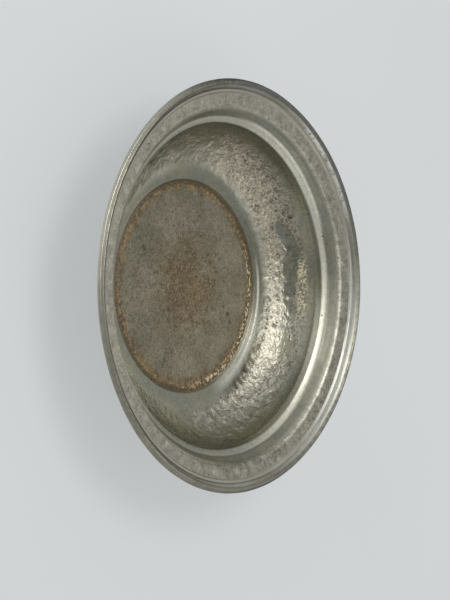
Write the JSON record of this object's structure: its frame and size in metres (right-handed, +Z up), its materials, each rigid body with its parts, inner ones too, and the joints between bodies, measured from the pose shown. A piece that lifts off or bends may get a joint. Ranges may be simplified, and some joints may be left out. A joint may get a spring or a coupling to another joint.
{
  "type": "paten plate",
  "caption": "Round pewter dish with a flat floor, deep hammered bowl, beaded step, flat planished brim and reeded rim.",
  "frame": {"origin": "centre of the base's flat underside", "axes": "+Z up along the dish's symmetry axis, out of its open side"},
  "size_m": [0.18, 0.18, 0.0347],
  "materials": {
    "hammered_pewter": "hammered and planished pewter, tarnished grey with an olive tint, satin",
    "rim_pewter": "drawn pewter moulding, worn bright on its reeds and dark in its grooves",
    "solder": "soft solder, smooth and lightly tarnished",
    "lining": "matt grey-brown lining with a fine grain and brown stains",
    "adhesive": "old brown adhesive, granular and dull"
  },
  "bodies": {
    "root": {"dish_shell": "hammered_pewter", "rim_moulding": "rim_pewter", "rim_solder_bead": "solder", "rim_solder_seam": "solder", "centre_disc": "lining", "adhesive_bed": "adhesive"}
  },
  "joints": []
}
